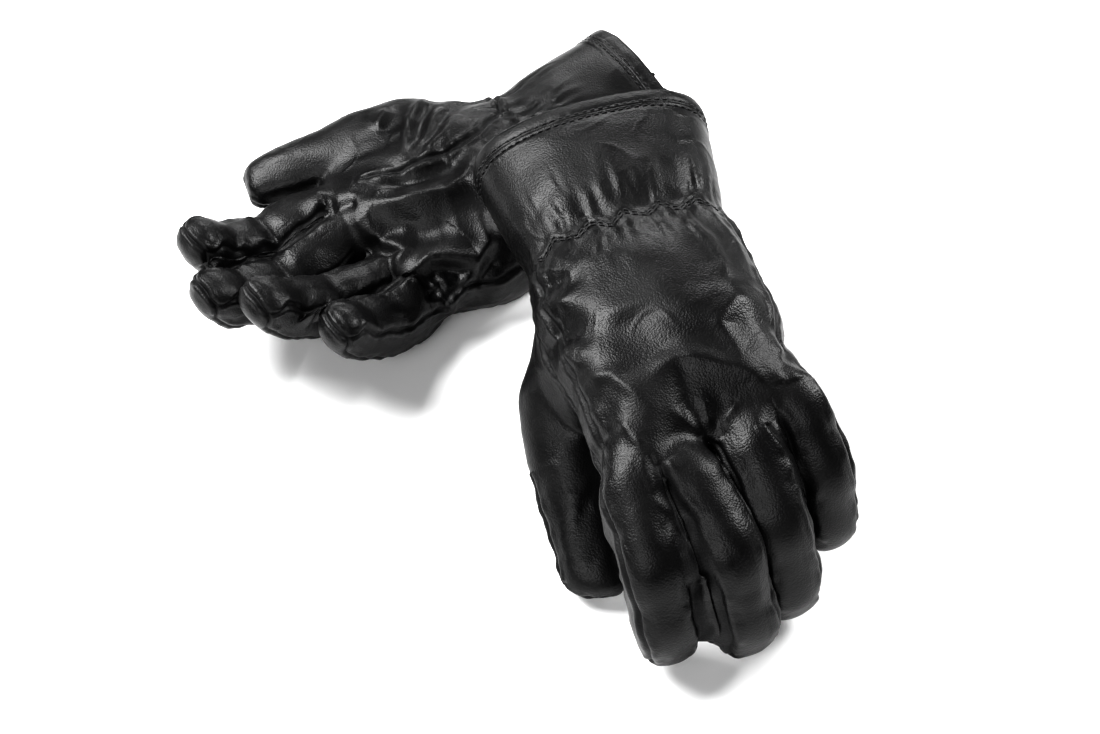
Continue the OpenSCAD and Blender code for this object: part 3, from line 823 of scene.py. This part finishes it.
for glove in gloves.values():
    straight = glove["straight"]
    x, y, z = straight.T
    relief = np.zeros(len(straight))
    on_back = (z > 0) & (abs(x) < 40) & (abs(y) < 12)
    for row in ZIGZAG_ROWS:
        relief -= 0.55 * bell((y - row - zigzag(x)) * 0.78, 0.75) * on_back
    relief += 0.5 * bell((y - 2.2 - zigzag(x)) * 0.78, 2.6) * on_back
    relief -= 0.5 * bell(y - HEM_STITCH_ROWS[0], 0.9)
    relief -= 0.7 * smooth((HEM_START - y) / 0.6)
    normals = normals_of(glove["skin"], glove["quads"])
    glove["skin"] = glove["skin"] + normals * relief[:, None]
    print(glove["side"], "deepest stitch line", round(relief.min(), 2), "mm")

# %% [markdown]
# ## Cutting the skin into pieces
# Up to the roots of the fingers the leather belongs to the hand. From there on it is cut halfway
# between the hinges. The normals come from the uncut skin, so the cuts can't be seen.

# %% Place the skin in the pair's frame
LEATHER_PIECES = []
FINGER_START = 3.0


def laid_on_floor(points, clear=0.0002):
    points[:, 2] = np.maximum(points[:, 2], clear)
    return points


for glove in gloves.values():
    if glove["handed"] < 0:
        glove["quads"] = glove["quads"][:, ::-1]
    glove["placed"] = laid_on_floor(to_world(glove, glove["skin"]))
    glove["normals"] = normals_of(glove["placed"], glove["quads"])
    print(glove["side"], "lowest point", round(glove["placed"][:, 2].min() / MM, 2), "mm")


# %% Cut it
def piece_of(glove, name, chosen):
    """One piece of the skin from the chosen quads, with the normals of the whole."""
    used, quads = np.unique(glove["quads"][chosen], return_inverse=True)
    piece = new_mesh(f"{glove['side']}_{name}", glove["placed"][used], quads.reshape(-1, 4).tolist())
    piece.data.polygons.foreach_set("use_smooth", [True] * len(piece.data.polygons))
    piece.data.normals_split_custom_set_from_vertices(glove["normals"][used].tolist())
    seam = piece.data.attributes.new("seam", "FLOAT", "POINT")
    seam.data.foreach_set("value", glove["seam"][used])
    LEATHER_PIECES.append(piece)
    return piece


def bend_between(glove, piece, chosen, along, ends):
    """Finds the way a piece runs between its two cut edges, bakes its place, and gives the length of that run in
    millimetres.
    """
    corners = np.unique(glove["quads"][chosen])
    start_at = along[corners].min()
    near = glove["placed"][corners[along[corners] < start_at + 1.0]]
    far = glove["placed"][corners[along[corners] > ends[1] - 0.7]]
    straight_on = unit(far.mean(axis=0) - near.mean(axis=0))
    squares = [np.linalg.svd(ring - ring.mean(axis=0), full_matrices=False)[2][2] for ring in (near, far)]
    squares = [square * np.sign(square @ straight_on) for square in squares]
    ways = [straight_on, *squares, unit(squares[0] + squares[1]), unit(straight_on + squares[0]),
            unit(straight_on + squares[1])]
    direction = max(ways, key=lambda way: (far @ way).min() - (near @ way).max())
    first, last = (near @ direction).max(), (far @ direction).min()
    middle = near.mean(axis=0) - (near.mean(axis=0) @ direction) * direction
    start, end = middle + first * direction, middle + last * direction
    tuple(start)
    tuple(end)
    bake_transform(piece)
    return (last - first) / MM


def cut_glove(glove):
    side, straight = glove["side"], glove["straight"]
    quads = glove["quads"]
    share, along = lanes(glove, straight)
    thumb_s, _ = thumb_along(glove, straight)
    in_thumb = glove["is_thumb"][quads].all(axis=1)
    left_over = np.ones(len(quads), bool)
    jobs = []
    for k, (name, finger) in enumerate(glove["fingers"].items()):
        h = finger["hinges"]
        cuts = (FINGER_START, 0.86 * h[1], 0.4 * h[1] + 0.6 * h[2], finger["length"] + 20)
        lane = (share[:, k][quads].mean(axis=1) > 0.5) & ~in_thumb
        jobs.append((name, along[:, k], lane, cuts, ("root", "mid", "tip")))
    tip_at = glove["thumb"]["hinges"][1]
    cuts = (4.0, 0.9 * tip_at, glove["thumb"]["length"] + 20)
    jobs.append(("thumb", thumb_s, in_thumb, cuts, ("root", "tip")))
    for name, s, lane, cuts, parts in jobs:
        middle = s[quads].mean(axis=1)
        for k, part in enumerate(parts):
            chosen = lane & (middle > cuts[k]) & (middle <= cuts[k + 1])
            left_over &= ~chosen
            piece = piece_of(glove, f"{name}_{part}_leather", chosen)
            last_cut = min(cuts[k + 1], cuts[k] + 26)
            room = bend_between(glove, piece, chosen, s, (cuts[k], last_cut))
            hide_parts(f"{side}_{name}_{part}")
            print(piece.name, "quads", int(chosen.sum()), "bends over", round(room, 1), "mm")
    cuff = left_over & (straight[quads][:, :, 1].mean(axis=1) < 2.2)
    back = left_over & ~cuff & (straight[quads][:, :, 2].mean(axis=1) > 0)
    palm = left_over & ~cuff & ~back
    for name, chosen, nodes in (
            ("cuff_leather", cuff, ("cuff_back", "cuff_palm", "wrist_elastic")),
            ("back_leather", back, ("back_panel", "finger_webs")),
            ("palm_leather", palm, ("palm_panel", "index_side_strip", "outer_side_strip", "thumb_gusset"))):
        piece = piece_of(glove, name, chosen)
        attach(piece, f"{side}_hand")
        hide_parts(*[f"{side}_{node}" for node in nodes])
        print(piece.name, "quads", int(chosen.sum()))


for glove in gloves.values():
    cut_glove(glove)

# %% [markdown]
# ## Finding a place on the skin again
# Threads, the hem and the lining have to sit on leather that has been bent and wrinkled. A ray sent
# outwards inside the straight form finds the triangle it leaves through, and the same triangle of
# the finished skin gives the place and the way up. A shrinkwrap would pull them to the nearest
# leather instead, which among folds may be the wrong one.


# %% From the straight form to the finished skin
def make_finder(glove):
    near = (glove["straight"][glove["quads"]][:, :, 1] < 25).all(axis=1)
    quads = glove["quads"][near]
    triangles = np.concatenate([quads[:, [0, 1, 2]], quads[:, [0, 2, 3]]])
    used, triangles = np.unique(triangles, return_inverse=True)
    triangles = triangles.reshape(-1, 3)
    straight = glove["straight"][used]
    placed, normals = glove["placed"][used], glove["normals"][used]
    tree = BVHTree.FromPolygons(straight.tolist(), triangles.tolist())

    def find(start, direction):
        """The finished place and normal where a ray leaves the straight form."""
        hit, _, index, _ = tree.ray_cast(Vector(start), Vector(direction))
        a, b, c = triangles[index]
        e1, e2, p = straight[b] - straight[a], straight[c] - straight[a], np.array(hit) - straight[a]
        m = np.array([[e1 @ e1, e1 @ e2], [e1 @ e2, e2 @ e2]])
        u, v = np.linalg.solve(m, [p @ e1, p @ e2])
        place = (1 - u - v) * placed[a] + u * placed[b] + v * placed[c]
        return place, unit((1 - u - v) * normals[a] + u * normals[b] + v * normals[c])

    return find


for glove in gloves.values():
    glove["find"] = make_finder(glove)
    place, up = glove["find"]((0, 2.0, 0), (0, 0, 1))
    print(glove["side"], "middle of the wrist's back at", (place / MM).round(1))


# %% [markdown]
# ## Hem band and linings
# The mouth of the cuff is a strip folded over the edge of leather and lining. A knitted lining
# covers the inside of the cuff and runs on into the hand. Each is a ring: a cross-section given as
# places along the arm and depths under the leather, carried once around the cuff.


# %% Rings around the cuff
def ring_piece(glove, name, section, body, count=200, ripple=0.0):
    """A closed ring whose cross-section is rows of (y, height over the leather) in millimetres."""
    points = []
    for j in range(count):
        angle = 2 * math.pi * j / count
        direction = (math.cos(angle), 0, math.sin(angle))
        for y, lift in section:
            place, up = glove["find"]((0, max(y, CUFF_END + 2.5), 0), direction)
            beyond = min(0, y - (CUFF_END + 2.5)) * MM
            arm = glove["axes"][1]
            extra = ripple * noise.noise(Vector((direction[0] * 9, y * 0.25, direction[2] * 9)))
            points.append(place + up * (lift + extra) * MM + arm * beyond)
    rows = len(section)
    faces = []
    for j in range(count):
        for i in range(rows):
            a, b = j * rows + i, j * rows + (i + 1) % rows
            c, d = ((j + 1) % count) * rows + (i + 1) % rows, ((j + 1) % count) * rows + i
            faces.append((a, b, c, d) if glove["handed"] > 0 else (d, c, b, a))
    ring = new_mesh(f"{glove['side']}_{name}", laid_on_floor(np.array(points)), faces)
    ring.data.polygons.foreach_set("use_smooth", [True] * len(ring.data.polygons))
    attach(ring, body)
    return ring


HEM_SECTION = ((-54.0, -0.3), (-54.3, 0.35), (-55.0, 0.75), (-55.6, 0.45), (-56.4, 0.85), (-58.5, 0.95),
               (-60.6, 0.9), (-61.8, 0.7), (-62.5, 0.1), (-62.8, -0.7), (-62.5, -1.6), (-61.8, -2.1),
               (-59, -2.3), (-56, -2.2), (-54.6, -1.9), (-54.2, -1.1))
CUFF_LINING_SECTION = (tuple((y, -2.5) for y in range(-58, -2, 4))
                       + tuple((y, -1.7) for y in range(-6, -59, -4)))
for glove in gloves.values():
    body = f"{glove['side']}_hand"
    hem = ring_piece(glove, "hem_band", HEM_SECTION, body, ripple=0.35)
    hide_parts(f"{glove['side']}_hem_binding")
    lining = ring_piece(glove, "cuff_knit", CUFF_LINING_SECTION, body)
    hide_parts(f"{glove['side']}_cuff_lining")
    glove["hem_band"], glove["cuff_knit"] = hem, lining
    print(hem.name, len(hem.data.polygons), "faces;", lining.name, len(lining.data.polygons), "faces")

# %% Lining of the hand
HAND_KNIT_ROWS = ((-1, 4.0), (8, 4.5), (24, 5), (45, 5), (66, 5), (84, 5))


def hand_lining(glove):
    """A sleeve of knit inside the hand, two layers deep, closed at both rims."""
    cx, cz = oval(60)
    rings = []
    for shrink in (0.0, 0.8):
        rows = HAND_KNIT_ROWS if not shrink else HAND_KNIT_ROWS[::-1]
        for y, gap in rows:
            thumb_side, outer, back, palm = table(y, HAND_FORM)
            x = (np.where(cx > 0, thumb_side - 1, outer - 5) - gap - shrink) * cx
            z = (np.where(cz > 0, back, palm) - gap - shrink) * cz
            rings.append(np.stack([x, np.full(60, float(y)), z], 1))
    count, sides = len(rings), 60
    faces = []
    for i in range(count):
        for j in range(sides):
            a, b = i * sides + j, i * sides + (j + 1) % sides
            c, d = ((i + 1) % count) * sides + (j + 1) % sides, ((i + 1) % count) * sides + j
            faces.append((a, b, c, d) if glove["handed"] > 0 else (d, c, b, a))
    points = laid_on_floor(to_world(glove, np.concatenate(rings)), 0.0015)
    return new_mesh(f"{glove['side']}_hand_knit", points, faces)


for glove in gloves.values():
    knit = hand_lining(glove)
    knit.data.polygons.foreach_set("use_smooth", [True] * len(knit.data.polygons))
    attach(knit, f"{glove['side']}_hand")
    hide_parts(f"{glove['side']}_hand_lining")
    glove["hand_knit"] = knit
    print(knit.name, len(knit.data.polygons), "faces")

# %% [markdown]
# ## Threads
# A sewn line is a row of short threads, each diving into the leather at both ends. They could be a
# bump in the leather, but real threads catch the light and cast tiny shadows. Each is a thin tube
# that follows the skin, with its ends pushed below it.

# %% One stitch after another along a row
THREAD_RADIUS = 0.34
STITCH_LENGTH = 2.9
STITCH_GAP = 0.55


def stitched_row(places, ups, closed=False):
    """Points and faces of the stitches along a row of places on the skin, all in metres."""
    steps = np.linalg.norm(np.diff(places, axis=0), axis=1)
    walked = np.concatenate([[0], np.cumsum(steps)]) / MM
    count = int(walked[-1] / (STITCH_LENGTH + STITCH_GAP))
    pitch = walked[-1] / count
    points, faces = [], []
    rise = (-0.55, 0.12, 0.34, 0.4, 0.34, 0.12, -0.55)
    girth = (0.5, 0.95, 1, 1, 1, 0.95, 0.5)
    for n in range(count):
        first = n * pitch + 0.5 * (pitch - STITCH_LENGTH)
        at = first + np.linspace(0, STITCH_LENGTH, 7)
        middle = np.array([np.interp(at, walked, places[:, k]) for k in range(3)]).T
        up = np.array([np.interp(at, walked, ups[:, k]) for k in range(3)]).T
        forward = unit(middle[-1] - middle[0])
        base = len(points)
        for i in range(7):
            side = unit(np.cross(forward, up[i]))
            lifted = middle[i] + up[i] * rise[i] * MM
            for a in np.linspace(0, 2 * math.pi, 6, endpoint=False):
                spoke = math.cos(a) * side + math.sin(a) * up[i]
                points.append(lifted + spoke * THREAD_RADIUS * girth[i] * MM)
        for i in range(6):
            for j in range(6):
                k = (j + 1) % 6
                here, there = base + i * 6, base + (i + 1) * 6
                faces.append((here + j, there + j, there + k, here + k))
        faces.append(tuple(base + j for j in range(6)))
        faces.append(tuple(base + 36 + j for j in range(5, -1, -1)))
    return points, faces


def thread_piece(glove, name, rows, node):
    points, faces = [], []
    for places, ups in rows:
        row_points, row_faces = stitched_row(np.array(places), np.array(ups))
        faces += [tuple(i + len(points) for i in face) for face in row_faces]
        points += row_points
    thread = new_mesh(f"{glove['side']}_{name}", laid_on_floor(np.array(points), 0.0001), faces)
    thread.data.polygons.foreach_set("use_smooth", [True] * len(faces))
    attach(thread, f"{glove['side']}_hand")
    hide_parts(node)
    return thread


THREAD_PIECES = []
for glove in gloves.values():
    side, find = glove["side"], glove["find"]
    rows = []
    for row in ZIGZAG_ROWS:
        found = [find((x, row + zigzag(x), 0), (0, 0, 1)) for x in np.arange(-37.5, 37.6, 0.5)]
        rows.append(list(zip(*found)))
    THREAD_PIECES.append(thread_piece(glove, "wrist_threads", rows, f"{side}_wrist_stitching"))
    rows = []
    for y, lift in ((HEM_STITCH_ROWS[0], 0.0), (HEM_STITCH_ROWS[1], 0.5)):
        found = []
        for angle in np.linspace(0, 2 * math.pi, 260):
            place, up = find((0, y, 0), (math.cos(angle), 0, math.sin(angle)))
            found.append((place + up * lift * MM, up))
        rows.append(list(zip(*found)))
    THREAD_PIECES.append(thread_piece(glove, "hem_threads", rows, f"{side}_hem_stitching"))
print([(t.name, len(t.data.polygons)) for t in THREAD_PIECES])

# %% [markdown]
# ## Finishes
# This leather is black, thinly coated and satin, with a fine pebble grain. Its colour hardly shows:
# what is seen is the light on it, so the grain is a bump of two sizes of cells with pores between,
# and the roughness drifts from place to place as handling polishes it. The seam lines are duller,
# and their colour is darkened there as painted shade in the grooves. The lining is a rib knit and
# the thread is twisted.


# %% Node helpers
def add_node(material, kind, **inputs):
    node = material.node_tree.nodes.new(kind)
    for name, value in inputs.items():
        node.inputs[name.replace("_", " ")].default_value = value
    return node


def link(material, output, socket):
    material.node_tree.links.new(output, socket)


def math_node(material, kind, a, b):
    node = material.node_tree.nodes.new("ShaderNodeMath")
    node.operation = kind
    for socket, value in zip(node.inputs, (a, b)):
        if isinstance(value, (int, float)):
            socket.default_value = value
        else:
            link(material, value, socket)
    return node.outputs[0]


def spread(material, value, low, high, from_low=0.0, from_high=1.0):
    """A value's range stretched to low..high."""
    node = add_node(material, "ShaderNodeMapRange", From_Min=from_low, From_Max=from_high,
                    To_Min=low, To_Max=high)
    link(material, value, node.inputs["Value"])
    return node.outputs["Result"]


# %% Leather
def leather(name, grain, gloss, depth):
    """Black grained leather: grain is cells to the metre, gloss the middle roughness."""
    material = plain_material(name, (0.006, 0.006, 0.0065), gloss)
    shader = material.node_tree.nodes["Principled BSDF"]
    shader.inputs["Specular IOR Level"].default_value = 0.25
    place = material.node_tree.nodes.new("ShaderNodeTexCoord").outputs["Object"]
    cells = add_node(material, "ShaderNodeTexVoronoi", Scale=grain, Randomness=0.95)
    cells.feature = "SMOOTH_F1"
    cells.inputs["Smoothness"].default_value = 0.35
    large = add_node(material, "ShaderNodeTexVoronoi", Scale=grain * 0.37)
    pores = add_node(material, "ShaderNodeTexNoise", Scale=grain * 3.5, Detail=2.0)
    drift = add_node(material, "ShaderNodeTexNoise", Scale=38.0, Detail=4.0, Roughness=0.6)
    for node in (cells, large, pores, drift):
        link(material, place, node.inputs["Vector"])
    height = math_node(material, "MULTIPLY", cells.outputs["Distance"], -1.0)
    large_height = math_node(material, "MULTIPLY", large.outputs["Distance"], -0.2)
    pore_height = math_node(material, "MULTIPLY", pores.outputs["Fac"], 0.22)
    height = math_node(material, "ADD", height, large_height)
    height = math_node(material, "ADD", height, pore_height)
    bump = add_node(material, "ShaderNodeBump", Strength=0.55, Distance=depth)
    link(material, height, bump.inputs["Height"])
    link(material, bump.outputs["Normal"], shader.inputs["Normal"])
    seam = material.node_tree.nodes.new("ShaderNodeAttribute")
    seam.attribute_name = "seam"
    rough = spread(material, drift.outputs["Fac"], gloss - 0.07, gloss + 0.07, 0.3, 0.7)
    rough = math_node(material, "ADD", rough, math_node(material, "MULTIPLY", seam.outputs["Fac"], 0.22))
    link(material, rough, shader.inputs["Roughness"])
    tone = add_node(material, "ShaderNodeMix")
    tone.data_type = "RGBA"
    tone.inputs[6].default_value = (0.002, 0.002, 0.0022, 1)
    tone.inputs[7].default_value = (0.0055, 0.0054, 0.0055, 1)
    # The tone follows a random drift, and is lowered at the seams: painted shade in the seam grooves.
    wear_and_seam_shade = math_node(material, "SUBTRACT", spread(material, drift.outputs["Fac"], 0.1, 0.9, 0.3, 0.7),
                     seam.outputs["Fac"])
    link(material, math_node(material, "MAXIMUM", wear_and_seam_shade, 0.0), tone.inputs["Factor"])
    link(material, tone.outputs[2], shader.inputs["Base Color"])
    return material


black_leather = leather("black_leather", 1300.0, 0.39, 0.0002)
hem_leather = leather("hem_leather", 1300.0, 0.42, 0.00018)
for piece in LEATHER_PIECES:
    piece.data.materials.append(black_leather)
for glove in gloves.values():
    glove["hem_band"].data.materials.append(hem_leather)
print("leather on", len(LEATHER_PIECES), "pieces")


# %% Knit and thread
def striped(name, colours, roughness, bands, strength, depth, tilt):
    """A fabric of fine ridges: rib knit along the arm, or the twist of a thread."""
    material = plain_material(name, colours[0], roughness)
    shader = material.node_tree.nodes["Principled BSDF"]
    place = material.node_tree.nodes.new("ShaderNodeTexCoord").outputs["Object"]
    turned = add_node(material, "ShaderNodeMapping")
    turned.inputs["Rotation"].default_value = tilt
    ridges = add_node(material, "ShaderNodeTexWave", Scale=bands, Distortion=1.2, Detail=2.0)
    ridges.inputs["Detail Scale"].default_value = 2.0
    fuzz = add_node(material, "ShaderNodeTexNoise", Scale=2600.0, Detail=3.0)
    link(material, place, turned.inputs["Vector"])
    link(material, turned.outputs["Vector"], ridges.inputs["Vector"])
    link(material, place, fuzz.inputs["Vector"])
    fuzz_height = math_node(material, "MULTIPLY", fuzz.outputs["Fac"], 0.5)
    height = math_node(material, "ADD", ridges.outputs["Fac"], fuzz_height)
    bump = add_node(material, "ShaderNodeBump", Strength=strength, Distance=depth)
    link(material, height, bump.inputs["Height"])
    link(material, bump.outputs["Normal"], shader.inputs["Normal"])
    tone = add_node(material, "ShaderNodeMix")
    tone.data_type = "RGBA"
    tone.inputs[6].default_value = (*colours[0], 1)
    tone.inputs[7].default_value = (*colours[1], 1)
    link(material, ridges.outputs["Fac"], tone.inputs["Factor"])
    link(material, tone.outputs[2], shader.inputs["Base Color"])
    return material


rib_knit = striped("rib_knit", ((0.012, 0.012, 0.014), (0.035, 0.035, 0.04)),
                   0.95, 190.0, 0.8, 0.0006, (0, 0, 0.3))
sewing_thread = striped("sewing_thread", ((0.002, 0.002, 0.002), (0.012, 0.012, 0.013)),
                        0.55, 700.0, 0.6, 0.0001, (0.6, 0.5, 0.8))
for glove in gloves.values():
    glove["cuff_knit"].data.materials.append(rib_knit)
    glove["hand_knit"].data.materials.append(rib_knit)
for thread in THREAD_PIECES:
    thread.data.materials.append(sewing_thread)
print("knit on 4 pieces, thread on", len(THREAD_PIECES))
